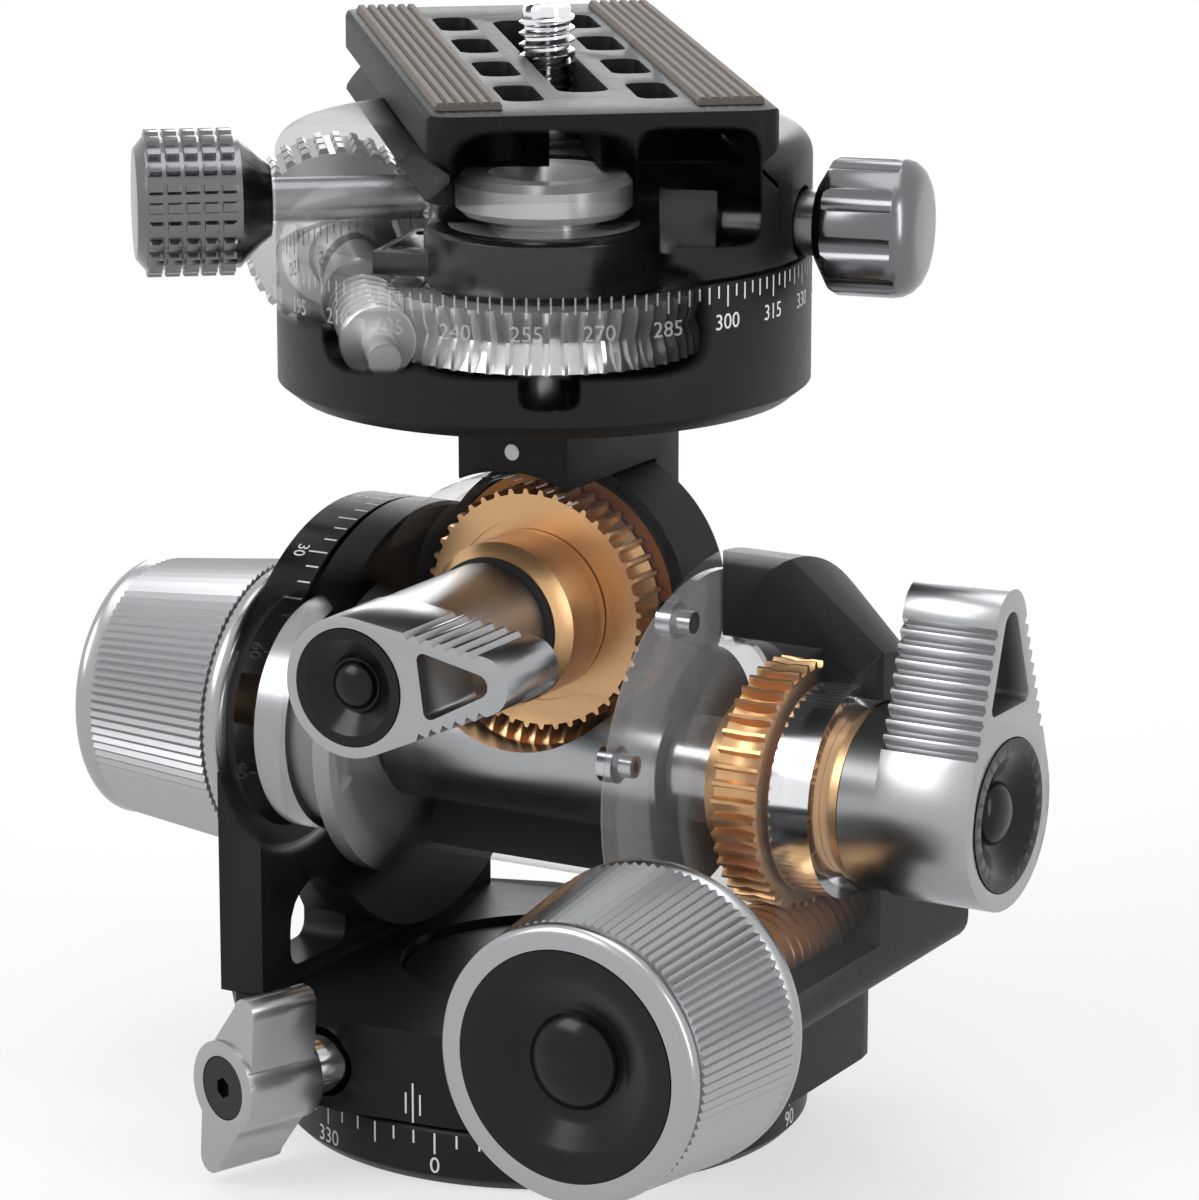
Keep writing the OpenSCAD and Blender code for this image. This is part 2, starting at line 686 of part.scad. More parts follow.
module pitch_worm() {
    color([0.72, 0.5, 0.28]) {
        on_roll(0) rotate([0, 0, 180]) worm_thread(pitch_centres, pitch_worm_r, tilt_teeth, 17);
        on_roll(-9.6) cylinder(h = 19.2, r = pitch_worm_r - tooth_depth);
        on_roll(-pitch_knob_end + 4.2) cylinder(h = pitch_knob_end - 13.8, r = 3);
        on_roll(9.6) cylinder(h = mid_right - 10.6, r = 3);
    }
}

module roll_knob() {
    color([0.72, 0.73, 0.75]) on_roll_worm(-roll_knob_end + knob_len) rotate([180, 0, 0]) drive_knob();
}

module roll_knob_cap() {
    color([0.06, 0.06, 0.07]) on_roll_worm(-roll_knob_end + 4) rotate([180, 0, 0]) dished_cap(12.5, 4.1);
}

module roll_worm() {
    color([0.72, 0.5, 0.28]) {
        on_roll_worm(0) rotate([0, 0, -90]) worm_thread(roll_centres, roll_worm_r, tilt_teeth, 22);
        on_roll_worm(-12) cylinder(h = 24, r = roll_worm_r - tooth_depth);
        on_roll_worm(-roll_knob_end + 4.2) cylinder(h = roll_knob_end - 4.2 - gearbox_half_y + 7, r = 3);
        on_roll_worm(-gearbox_half_y - 2) cylinder(h = 2 * gearbox_half_y - 2.5, r = 3.5);
    }
}

// Top bracket and pitch drive

module top_bracket() {
    cheek_y = saddle_back + gap;
    color([0.12, 0.12, 0.13]) difference() {
        union() {
            translate([-7, -7.2, pitch_z + 14]) cube([14, cheek_y + 7.2 + 5.6, drum_z - pitch_z - 14]);
            translate([-7, cheek_y, pitch_z]) cube([14, 5.6, drum_z - pitch_z]);
            on_pitch(cheek_y) bevelled(5.6, 12.8, 1);
        }
        on_pitch(-10) cylinder(h = cheek_y + 10, r = saddle_r + gap);
        on_pitch(0) cylinder(h = 30, r = 4);
        translate([0, 0, drum_z - 7]) cylinder(h = 8, r = 3);
    }
}

module pitch_shaft() {
    color([0.7, 0.71, 0.73]) on_pitch(-seal_y - 5.6) cylinder(h = seal_y + saddle_back + gap + 10.8, r = 4);
}

module pitch_wheel() {
    color([0.8, 0.6, 0.36]) on_pitch(0) rotate([0, 0, 90 + 180 / tilt_teeth])
        throated_wheel(pitch_centres, pitch_worm_r, tilt_teeth, tilt_wheel_r, tilt_wheel_w, 4);
}

module pitch_hub() {
    long = seal_y - tilt_wheel_w / 2;
    color([0.72, 0.5, 0.26]) on_pitch(-seal_y)
        rotate_extrude() polygon([[4, 0], [hub_r - 1.4, 0], [hub_r - 0.7, 0.7], [hub_r, 1.6], [hub_r, long], [4, long]]);
}

module pitch_seal() {
    color([0.05, 0.05, 0.06]) on_pitch(-seal_y - 1.3) rotate_extrude()
        translate([4, 0]) polygon([[0, 0], [3.4, 0], [3.9, 0.5], [3.9, 0.8], [3.4, 1.3], [0, 1.3]]);
}

// Thrust washer behind the pitch wheel, fixed in the casting and open towards the worm
module pitch_washer() {
    color([0.42, 0.26, 0.12]) difference() {
        on_pitch(tilt_wheel_w / 2 + gap) ring(2 * wheel_room + 0.8 - gap, tilt_wheel_r + 1.1, 4 + run);
        on_roll(-30) cylinder(h = 60, r = pitch_worm_r + 0.5);
    }
}

// Panning drum

module pan_drum() {
    color([0.09, 0.09, 0.1]) difference() {
        rotate_extrude() polygon([[0, drum_z], [drum_r - 2, drum_z], [drum_r, drum_z + 1.6], [drum_r, drum_top],
                                  [drum_in, drum_top], [drum_in, drum_z + 2.8], [0, drum_z + 2.8]]);
        translate([0, 0, drum_z - 1]) cylinder(h = 6, r = 3 + run);
        on_pan_worm(10) cylinder(h = drum_exit, r = 3.6 + run);
    }
    // bearing block of the worm's far end
    color([0.09, 0.09, 0.1]) difference() {
        intersection() {
            translate([0, 0, drum_z + 2.8 - e]) cylinder(h = 8.6, r = drum_in + 0.3);
            in_clamp() translate([-drum_r, -16.5, drum_z + 2]) cube([16, 4.5, 12]);
        }
        on_pan_worm(-20) cylinder(h = 12, r = 1.8 + run);
        in_clamp() translate([0, 0, drum_z]) cylinder(h = 20, r = pan_wheel_r + 0.6);
    }
}

module pan_spindle() {
    color([0.75, 0.76, 0.78]) {
        translate([0, 0, drum_z - 6.6]) cylinder(h = 6.6 + drum_gap, r = 3);
        translate([0, 0, drum_z + drum_gap - e]) cylinder(h = clamp_floor - drum_z - drum_gap - 4.8 + e, r = spindle_r);
    }
}

module cone_nut() {
    bottom = clamp_floor - 4.8;
    color([0.75, 0.76, 0.78]) translate([0, 0, bottom]) rotate_extrude()
        polygon([[0, 0], [8.8, 0], [9.8, 0.9], [9.8, 3.6], [9.1, 4.5], [6.2, 4.5], [3.4, 1.6], [0, 1.6]]);
}

module pan_worm() {
    color([0.78, 0.79, 0.8]) {
        on_pan_worm(0) mirror([0, 1, 0]) worm_thread(pan_centres, pan_worm_r, pan_teeth, 14);
        on_pan_worm(-8.2) cylinder(h = 17, r = pan_worm_r - tooth_depth);
        on_pan_worm(-9) bevelled(1.4, 4.2, 0.2);
        on_pan_worm(-15.5) cylinder(h = 8, r = 1.8);
        on_pan_worm(8.2) bevelled(1.8, 4.4, 0.3);
        on_pan_worm(9.5) cylinder(h = drum_exit + 7.7, r = 3.6);
        on_pan_worm(drum_exit + 3.6) rotate_extrude() polygon([[3, 0], [4.2, 0], [6.4, 1.6], [7.2, 3.7], [7, 5.9], [3, 5.9]]);
    }
}

module pan_knob() {
    ribs = 32;
    color([0.85, 0.86, 0.88, 0.5]) on_pan_worm(drum_exit + 9.5) difference() {
        union() {
            rotate_extrude() polygon([[0, 0], [7.4, 0], [10.3, 1.2], [10.3, 9.6], [9.4, 10.6], [0, 10.6]]);
            for (row = [0:2]) translate([0, 0, 1.5 + row * 2.7]) linear_extrude(height = 2)
                polygon([for (i = [0:ribs - 1], h = [0, 0.35, 0.5, 0.85])
                    let (t = 360 * (i + h) / ribs, r = h < 0.45 ? 11 : 10.3) [r * cos(t), r * sin(t)]]);
        }
        translate([0, 0, -1]) cylinder(h = 8.7, r = 3.6);
    }
}

// Clamp

// Round block of the clamp with its top edge rounded over
module clamp_form() {
    rotate_extrude() polygon(concat([[0, clamp_z], [drum_r - 0.3, clamp_z], [drum_r, clamp_z + 0.3]],
        arc(drum_r - 3, jaw_top - 3, 3, 0, 90, 8), [[0, jaw_top]]));
}

// Section of the channel that the plate lies in, with its V shaped ridges
module channel(width) {
    half = width / 2;
    deep = 0.35;
    low = groove_z + groove_flat - 0.17;
    ridge = [[half, clamp_floor], [half, groove_z - groove_d + deep], [half - groove_d, groove_z + deep],
             [half - groove_d, low], [half, low + groove_up], [half, jaw_top + 1]];
    rotate([90, 0, 0]) translate([0, 0, -80]) linear_extrude(height = 160)
        polygon(concat(ridge, [for (i = [len(ridge) - 1:-1:0]) [-ridge[i][0], ridge[i][1]]]));
}

// Where the moving jaw sits in the clamp
module jaw_zone(slack) {
    in_plate() translate([-drum_r - 10, -drum_r - 1, clamp_z + 2.4 - slack])
        cube([drum_r + 14 - plate_w / 2 + slack, 2 * drum_r + 2, 30]);
}

module clamp_body() {
    color([0.11, 0.11, 0.12]) difference() {
        clamp_form();
        in_plate() channel(plate_w + 2 * gap);
        jaw_zone(gap);
        // hollow underneath, for the bearing, the wheel's hub and the brake
        translate([0, 0, clamp_z - 1]) cylinder(h = hub_ring_z - clamp_z + 1, r = drum_in);
        translate([0, 0, clamp_floor - 4.9]) cylinder(h = 10, r = 9.8 + gap);
        translate([0, 0, clamp_z]) cylinder(h = 20, r = spindle_r + gap);
        // pan lock screw with its counterbore, and the brake's pocket
        on_pan_lock(12) cylinder(h = 30, r = 2.6 + run);
        on_pan_lock(drum_r - 3) cylinder(h = 10, r = 4.1);
        on_pan_lock(14) translate([-4, -3.9, 0]) cube([10, 7.8, 7.2]);
        on_clamp_screw(-20) cylinder(h = 30, r = 2.5 + run);
    }
}

// Places children drawn along Z on the pan lock's axis, outwards
module on_pan_lock(s) {
    in_clamp() rotate([0, 0, lock_knob_turn]) translate([s, 0, knob_z - 1.2]) along_x() children();
}

// Places children drawn along Z on the clamp screw's axis; s counts inwards from the knob side
module on_clamp_screw(s) {
    in_clamp() translate([s, 3, knob_z]) along_x() children();
}

module pan_hub() {
    color([0.08, 0.08, 0.09]) difference() {
        union() {
            translate([0, 0, pan_hub_z]) bevelled(hub_ring_z - pan_hub_z, 13.3, 0.5);
            in_clamp() rotate([0, 0, 155]) translate([8, -7.5, pan_hub_z + 1.2]) cube([9.5, 15, 2.6]);
        }
        translate([0, 0, pan_hub_z - 1]) cylinder(h = 10, r = 10.6);
        for (s = [-1, 1]) in_clamp() rotate([0, 0, 155]) translate([15.4, s * 4.6, pan_hub_z])
            cylinder(h = 6, r = 1);
    }
}

module pan_bearing() {
    color([0.78, 0.79, 0.8]) translate([0, 0, pan_hub_z]) ring(hub_ring_z - pan_hub_z, 10.6, spindle_r + run);
}

module pan_wheel() {
    color([0.86, 0.88, 0.9, 0.4]) translate([0, 0, pan_mid]) in_clamp() rotate([0, 0, 180 + 180 / pan_teeth])
        throated_wheel(pan_centres, pan_worm_r, pan_teeth, pan_wheel_r, pan_wheel_w, spindle_r);
}

module brake_blocks() {
    color([0.1, 0.1, 0.11]) difference() {
        on_pan_lock(14.2) translate([-3.7, -3.7, 0]) cube([7.4, 7.4, 6.7]);
        on_pan_lock(17) cylinder(h = 5, r = 2.6 + run);
    }
}

module pan_lock_knob() {
    flutes = 9;
    color([0.3, 0.3, 0.32]) difference() {
        on_pan_lock(drum_r + 2) rotate_extrude() polygon(concat([[0, 0], [4.6, 0], [lock_knob_r - 0.4, 1.6],
            [lock_knob_r, 2.4], [lock_knob_r, 8.4]],
            [for (i = [1:5]) let (t = 90 * i / 5) [4.4 + (lock_knob_r - 4.4) * cos(t), 8.4 + 3.2 * sin(t)]], [[0, 11.6]]));
        for (i = [0:flutes - 1]) on_pan_lock(drum_r + 1) rotate([0, 0, 360 * i / flutes]) translate([lock_knob_r + 0.7, 0, 0])
            cylinder(h = 10.3, r = 1.5, $fn = 20);
        on_pan_lock(drum_r + 1) cylinder(h = 7, r = 2.6);
    }
}

module pan_lock_screw() {
    color([0.2, 0.2, 0.21]) {
        on_pan_lock(17.3) cylinder(h = drum_r + 8 - 17.3, r = 2.6);
        on_pan_lock(drum_r - 2.4) ring(4.4, 3.6, 2.6 - e);
    }
}

module clamp_jaw() {
    color([0.13, 0.13, 0.14]) difference() {
        intersection() {
            clamp_form();
            jaw_zone(0);
        }
        in_plate() channel(plate_w + 2 * gap);
        in_plate() translate([-plate_w / 2 - 0.4, -60, clamp_z]) cube([60, 120, clamp_floor - clamp_z + 0.3]);
        on_clamp_screw(-40) cylinder(h = 50, r = 2.5 + run);
        translate([0, 0, clamp_floor - 4.9]) cylinder(h = 10, r = 9.8 + gap);
    }
}

module clamp_knob() {
    rows = 5;
    ribs = 22;
    start = -drum_r - 15.3;
    color([0.28, 0.28, 0.3]) on_clamp_screw(start) difference() {
        union() {
            rotate_extrude() polygon([[0, 0], [clamp_knob_r - 2, 0], [clamp_knob_r - 0.8, 1], [clamp_knob_r - 0.8, 11.4],
                                      [5, 13.6], [4, 14.9], [0, 14.9]]);
            for (row = [0:rows - 1]) translate([0, 0, 1.2 + row * 2]) linear_extrude(height = 1.5)
                polygon([for (i = [0:ribs - 1], h = [0, 0.4, 0.5, 0.9])
                    let (t = 360 * (i + h) / ribs, r = h < 0.45 ? clamp_knob_r : clamp_knob_r - 0.8)
                    [r * cos(t), r * sin(t)]]);
        }
        translate([0, 0, 4]) cylinder(h = 12, r = 2.5);
    }
}

module clamp_screw() {
    color([0.6, 0.61, 0.63]) on_clamp_screw(-drum_r - 11.3) cylinder(h = drum_r - 0.9, r = 2.5);
}

// Camera plate

// Upright slot with round ends or corners, cut through the plate
module plate_slot(u, v, w, l, corner) {
    translate([u, v, plate_z - 1]) linear_extrude(height = plate_t + 2)
        polygon(concat(arc(w / 2 - corner, l / 2 - corner, corner, 0, 90, 4),
                       arc(-w / 2 + corner, l / 2 - corner, corner, 90, 180, 4),
                       arc(-w / 2 + corner, -l / 2 + corner, corner, 180, 270, 4),
                       arc(w / 2 - corner, -l / 2 + corner, corner, 270, 360, 4)));
}

module camera_plate() {
    half = plate_w / 2;
    pitch = 18.6;
    vee = groove_z - plate_z;
    edge = [[0, 0], [0, vee - groove_d], [groove_d, vee], [groove_d, vee + groove_flat], [0, vee + groove_flat + groove_up],
            [0, plate_t - 0.5], [0.5, plate_t]];
    color([0.13, 0.13, 0.14]) in_plate() difference() {
        intersection() {
            translate([0, plate_shift + plate_l / 2, 0]) rotate([90, 0, 0]) linear_extrude(height = plate_l)
                polygon(concat([for (p = edge) [half - p[0], plate_z + p[1]]],
                               [for (i = [len(edge) - 1:-1:0]) [edge[i][0] - half, plate_z + edge[i][1]]]));
            plate_slot(0, plate_shift, plate_w, plate_l, 3);
        }
        for (s = [-1, 1], k = [-1.5:1:1.5]) plate_slot(s * 7.3, plate_shift + k * pitch, 4.4, 11.6, 1.5);
        plate_slot(0, plate_shift + 1, 5.6, 58, 2.2);
        translate([0, plate_shift + 1.8, plate_z - 1]) cylinder(h = plate_t + 2, d = screw_d + 0.1);
        translate([0, plate_shift + 1.8, plate_z - 1]) cylinder(h = 4.4, r = 7.3);
    }
}

module grip_strips() {
    ribs = 6;
    w = 7.2;
    color([0.42, 0.38, 0.36]) in_plate()
        for (s = [-1, 1]) translate([s * 14.1, plate_shift + plate_l / 2 - 3.4, plate_top]) rotate([90, 0, 0])
            linear_extrude(height = plate_l - 8)
                polygon(concat([[-w / 2, 0]], [for (i = [0:ribs - 1], h = [0, 0.25, 0.75]) let (x = -w / 2 + w * (i + h) / ribs)
                    [x, h == 0 ? 0.35 : 0.85]], [[w / 2, 0.35], [w / 2, 0]]));
}

module camera_screw() {
    color([0.8, 0.81, 0.83]) in_plate() translate([0, plate_shift + 1.8, 0]) difference() {
        union() {
            translate([0, 0, plate_z + 0.4]) cylinder(h = 2.9, r = 7);
            translate([0, 0, plate_z + 1]) cylinder(h = plate_t, r = 2.6);
            translate([0, 0, plate_top + 0.5]) cylinder(h = screw_out - 1.2, d = screw_d);
            translate([0, 0, plate_top + screw_out - 0.7 - e]) cylinder(h = 0.7, d1 = screw_d, d2 = screw_d - 1.4);
        }
        translate([0, 0, plate_z - 1]) cylinder(h = 3, r = 2.4, $fn = 6);
    }
}

base_ring();
retainer_disc();
retainer_screws();
pan_bracket();
gearbox_cover();
roll_bearing();
base_lock_knob();
base_lock_stud();
base_lock_screw();
mid_body();
mid_cover();
worm_tube();
left_trunnion();
trunnion_ring();
worm_bush();
roll_flange();
flange_screws();
roll_hub();
roll_wheel();
roll_sleeve();
roll_ring();
roll_lever();
roll_lever_cap();
roll_worm();
roll_knob();
roll_knob_cap();
pitch_worm();
pitch_knob();
pitch_knob_cap();
top_bracket();
pitch_shaft();
pitch_wheel();
pitch_hub();
pitch_seal();
pitch_washer();
pitch_lever();
pitch_lever_cap();
pan_drum();
pan_spindle();
cone_nut();
pan_worm();
pan_knob();
clamp_body();
pan_hub();
pan_bearing();
pan_wheel();
brake_blocks();
pan_lock_knob();
pan_lock_screw();
clamp_jaw();
clamp_knob();
clamp_screw();
camera_plate();
grip_strips();
camera_screw();
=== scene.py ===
# %% [markdown]
# This scene dresses the imported solids of a geared tripod head. Each solid is
# kept and given a finish, and modifiers shade it and soften the edges of some.
# The camera screw alone is made again, as a real thread, and the printed
# scales, the index lines and the level dot are new. First come the imports and
# the frame.

# %% Load the frame
import math
import bpy
from mathutils import Euler, Matrix, Vector


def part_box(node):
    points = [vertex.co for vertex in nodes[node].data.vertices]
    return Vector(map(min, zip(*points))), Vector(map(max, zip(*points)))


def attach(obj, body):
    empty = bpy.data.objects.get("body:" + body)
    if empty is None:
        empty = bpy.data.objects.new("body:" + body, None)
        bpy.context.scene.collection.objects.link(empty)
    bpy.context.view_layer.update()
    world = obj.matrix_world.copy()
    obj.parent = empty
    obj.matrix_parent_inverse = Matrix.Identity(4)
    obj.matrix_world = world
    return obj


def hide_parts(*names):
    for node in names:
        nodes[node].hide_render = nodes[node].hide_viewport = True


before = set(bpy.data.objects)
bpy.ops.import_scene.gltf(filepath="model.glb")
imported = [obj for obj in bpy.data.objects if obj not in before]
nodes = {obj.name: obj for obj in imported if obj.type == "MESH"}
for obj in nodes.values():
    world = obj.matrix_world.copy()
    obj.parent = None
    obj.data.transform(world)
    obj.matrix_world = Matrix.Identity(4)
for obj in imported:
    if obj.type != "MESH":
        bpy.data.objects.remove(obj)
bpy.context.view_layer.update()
bpy.ops.object.select_all(action="DESELECT")
MM = 0.001
print("solids loaded:", len(nodes))

# %% [markdown]
# The photograph was taken with a long lens from the front right and a little
# above. The camera was worked out from the round parts of the object, so it is
# placed with plain numbers.

# %% Camera
EYE = Vector((0.28621, -0.49264, 0.20201))
TURN = Euler((math.radians(75.96), 0, math.radians(29.54)))
LENS, SENSOR = 156.82, 36
NEAR, FAR = 0.01, 20
bpy.ops.object.camera_add(location=EYE, rotation=TURN)
camera = bpy.context.object
camera.data.lens, camera.data.sensor_width = LENS, SENSOR
camera.data.clip_start, camera.data.clip_end = NEAR, FAR
bpy.context.scene.camera = camera
print("camera is", round(camera.location.length, 3), "m from the base")

# %% [markdown]
# Colour management is left plain, so a colour renders about as it is written.

# %% Colour management
bpy.context.scene.view_settings.view_transform = "Standard"

# %% [markdown]
# Shader maths reads best as ordinary formulas. This small class wraps a node's
# output and adds a Math node for each operator, so a mask can be written as
# one line. Other nodes come from add(), which sets the node's own choices
# first and then the values or links of its sockets.

# %% Shader maths
class Wire:
    """A shader value that can be used in ordinary formulas."""

    def __init__(self, tree, socket):
        self.tree, self.socket = tree, socket

    def maths(self, operation, *others):
        node = self.tree.nodes.new("ShaderNodeMath")
        node.operation = operation
        for place, value in enumerate((self,) + others):
            plug(self.tree, node.inputs[place], value)
        return Wire(self.tree, node.outputs[0])

    def __add__(self, other): return self.maths("ADD", other)
    def __radd__(self, other): return self.maths("ADD", other)
    def __sub__(self, other): return self.maths("SUBTRACT", other)
    def __rsub__(self, other): return (self * -1) + other
    def __mul__(self, other): return self.maths("MULTIPLY", other)
    def __rmul__(self, other): return self.maths("MULTIPLY", other)
    def __truediv__(self, other): return self.maths("DIVIDE", other)

    def smooth(self, low, high):
        """0 below low, 1 above high, and a soft step between them."""
        node = self.tree.nodes.new("ShaderNodeMapRange")
        node.interpolation_type = "SMOOTHSTEP"
        for name, value in (("Value", self), ("From Min", low), ("From Max", high)):
            plug(self.tree, node.inputs[name], value)
        return Wire(self.tree, node.outputs[0])


def plug(tree, socket, value):
    """Links a Wire to a socket, or sets a plain value on it."""
    if isinstance(value, Wire):
        tree.links.new(value.socket, socket)
    else:
        socket.default_value = value


class Finish:
    """A material with a Principled shader and short ways to add nodes."""

    def __init__(self, name):
        self.material = bpy.data.materials.new(name)
        self.material.use_nodes = True
        self.tree = self.material.node_tree
        self.shader = self.tree.nodes["Principled BSDF"]

    def add(self, kind, settings=None, out=0, **sockets):
        node = self.tree.nodes.new(kind)
        for name, value in (settings or {}).items():
            setattr(node, name, value)
        for name, value in sockets.items():
            plug(self.tree, node.inputs[name.replace("_", " ")], value)
        return Wire(self.tree, node.outputs[out])

    def set(self, **sockets):
        for name, value in sockets.items():
            plug(self.tree, self.shader.inputs[name.replace("_", " ")], value)

    def place(self):
        """The point on the surface, in metres, in the object's own frame."""
        return self.add("ShaderNodeTexCoord", out=3)

    def parts(self, vector):
        node = self.tree.nodes.new("ShaderNodeSeparateXYZ")
        plug(self.tree, node.inputs[0], vector)
        return [Wire(self.tree, node.outputs[i]) for i in range(3)]

    def noise(self, scale, detail=3.0, vector=None):
        return self.add("ShaderNodeTexNoise", Vector=vector or self.place(),
                        Scale=scale, Detail=detail)

    def bump(self, height, strength, distance):
        self.set(Normal=self.add("ShaderNodeBump", Height=height,
                                 Strength=strength, Distance=distance))

    def tint(self, factor, dark, light):
        node = self.tree.nodes.new("ShaderNodeMix")
        node.data_type = "RGBA"
        plug(self.tree, node.inputs[0], factor)
        plug(self.tree, node.inputs[6], (*dark, 1))
        plug(self.tree, node.inputs[7], (*light, 1))
        return Wire(self.tree, node.outputs[2])


print("shader helpers ready")

# %% [markdown]
# The dark parts are aluminium with a fine-grained black coat. Tiny noise in the
# bump gives the grain, and slower noise lets the roughness vary a little, which
# keeps a large dark face from looking like plastic.

# %% Dark finishes
MOTTLE, GRAIN = 900.0, 9000.0


def dark_coat(name, colour, rough, grain=0.35, gloss=0.2):
    f = Finish(name)
    mottle = f.noise(MOTTLE)
    f.set(Base_Color=f.tint(mottle, [c * 0.85 for c in colour], [c * 1.2 for c in colour]),
          Roughness=mottle * 0.12 + (rough - 0.06), Metallic=0.0, Specular_IOR_Level=gloss)
    f.bump(f.noise(GRAIN, 2.0), grain, 0.00003)
    return f


BLACK, CASTING = (0.0075, 0.008, 0.009), (0.009, 0.0095, 0.0105)
black = dark_coat("black anodised coat", BLACK, 0.42)
plastic = dark_coat("satin black", (0.0035, 0.0035, 0.004), 0.22, 0.05, 0.25)
inner_black = dark_coat("inner black", (0.012, 0.012, 0.013), 0.24, 0.03, 0.7)
print("dark finishes:", black.material.name, plastic.material.name)

# %% [markdown]
# Turned metal carries fine rings from the lathe, so its roughness and bump
# follow noise that is stretched along the turning axis and breaks the highlight
# up into fine lines. Metal without an axis has a fine even speckle instead. The
# colour, the roughness, the strength of the lines and how metallic the surface
# is make silver, steel, bronze, gunmetal and lacquer of it. The steel inside the
# drum is a near-white, less metallic copy of the steel: painted light, standing
# in for the light that the drum keeps from it.

# %% Metal finishes
SPECKLE, ROUND, ALONG = 2500.0, 120.0, 9000.0


def turned(name, colour, rough, axis=None, lines=0.25, metal=1.0, vary=0.06):
    f = Finish(name)
    if axis is None:
        streak = f.noise(SPECKLE)
    else:
        stretch = [ROUND, ROUND, ROUND]
        stretch[axis] = ALONG
        vector = f.add("ShaderNodeMapping", Vector=f.place(), Scale=stretch)
        streak = f.noise(1.0, 2.0, vector)
    f.set(Base_Color=(*colour, 1), Metallic=metal,
          Roughness=streak * vary + (rough - vary / 2))
    f.bump(streak, lines, 0.00002)
    return f


SILVER = (0.37, 0.375, 0.385)
silver = turned("satin silver", SILVER, 0.28, None, 0.01, vary=0.02)
silver_x = turned("silver turned along X", SILVER, 0.26, 0, 0.03, vary=0.03)
silver_y = turned("silver turned along Y", SILVER, 0.26, 1, 0.03, vary=0.03)
steel = turned("turned steel", (0.50, 0.51, 0.53), 0.22, 2, 0.15)
chrome = turned("polished steel", (0.82, 0.83, 0.85), 0.12, None, 0.05)
bronze = turned("machined bronze", (0.66, 0.40, 0.20), 0.33, None, 0.12, 0.85)
gunmetal = turned("gunmetal", (0.17, 0.17, 0.18), 0.24, None, 0.08)
# Painted light: the steel inside the drum is made near white and only a little metallic, so
# that it looks lit where the drum keeps the lamps off it.
painted_light_steel = turned("steel brightened as painted light inside", (0.93, 0.94, 0.95), 0.24, 2, 0.05, 0.3)
brown = turned("brown lacquer", (0.26, 0.12, 0.045), 0.38, None, 0.2)
print("metals:", [f.material.name for f in (silver, steel, chrome, bronze, gunmetal, brown)])

# %% [markdown]
# The photograph shows some housings see-through, so that the gears inside can
# be seen. A see-through shell is made with a low alpha and a glossy surface:
# the highlights stay and the rest lets the inside show.

# %% See-through and rubber finishes
def ghost(name, colour, alpha, edge_alpha, sharp=3, rough=0.12, metal=0.0):
    """Clear where it faces the eye and stronger towards its outline."""
    f = Finish(name)
    edge = f.add("ShaderNodeLayerWeight", out=1, Blend=0.5).maths("POWER", sharp)
    f.set(Base_Color=(*colour, 1), Roughness=f.noise(700.0) * 0.06 + rough, Metallic=metal,
          Alpha=edge * (edge_alpha - alpha) + alpha)
    return f


clear_shell = ghost("clear shell", (0.45, 0.46, 0.48), 0.008, 0.5, 4)
clear_part = ghost("clear part", (0.72, 0.73, 0.75), 0.09, 0.85, 3)
clear_disc = ghost("clear disc", (0.80, 0.81, 0.83), 0.42, 0.95, 2)
# Painted light: the gear inside the drum is made near white, so that it looks lit where the
# drum keeps the lamps off it.
gear_with_painted_light = ghost("clear gear with painted light", (0.96, 0.965, 0.97), 0.92, 1.0, 2, 0.13, 0.6)
clear_knob = ghost("clear knob", (0.62, 0.63, 0.65), 0.72, 1.0, 1.5, 0.2, 0.45)
rubber = dark_coat("black rubber", (0.012, 0.012, 0.012), 0.6, 0.2)
strip = dark_coat("taupe rubber", (0.17, 0.15, 0.135), 0.75, 0.6)
print("clear and soft finishes ready")

# %% [markdown]
# The photograph looks through the dark castings wherever there is something to
# see inside. Each window is a rounded box on the picture. Its middle and its
# half size are in hundredths of the picture's width, counted from the middle of
# the picture, and a higher power squares its corners. A point of the surface is
# carried to the picture with the camera's own numbers, so a window goes
# straight through the casting along the line of sight. It stops at a depth in
# mm behind the turning axis, and the far wall stays dark behind the gears. The
# last number is how clear it is, and under 1 it stays smoky.

# %% Windows
VIEW = TURN.to_matrix()
ACROSS, UPWARD, AHEAD = VIEW.col[0], VIEW.col[1], -VIEW.col[2]
AWAY = Vector((-math.sin(TURN.z), math.cos(TURN.z), 0))
SOFT_RIM, SOFT_DEPTH = 0.25, 0.5
WINDOWS = {
    "pan knob": ((-22.5, 32.3), (9.2, 9.2), 2, 0, 1),
    "pan knob, far wall": ((-22.5, 32.3), (9.2, 9.2), 2, 99, 0.72),
    "pan worm": ((-18.6, 25.6), (4.6, 6.6), 4, 2, 1),
    "pan wheel": ((-3.8, 23.4), (12.7, 5.1), 4, 0, 1),
    "pan hub": ((-4.0, 29.2), (10.0, 4.4), 4, 0, 1),
    "hub lug": ((-12.3, 28.2), (6.8, 2.6), 4, 0, 1),
    "cone nut": ((-4.5, 34.2), (8.0, 4.9), 4, 0, 1),
    "brake": ((8.3, 34.4), (5.2, 5.0), 6, 4, 1),
    "spindle thread": ((-4.2, 17.7), (2.6, 2.0), 4, -2.5, 1),
    "roll worm": ((16.7, -25.0), (5.7, 4.5), 2, 0, 1),
    "left knob": ((-26.2, -9.6), (6.0, 10.8), 2, 99, 1),
    "disc": ((-21.5, -10.6), (8.1, 13.3), 2, 99, 1),
}


def lean(point, direction, start=None):
    """How far a point lies from a start along a direction."""
    total = -start.dot(direction) if start else 0.0
    for part, weight in zip(point, direction):
        total = part * weight + total
    return total


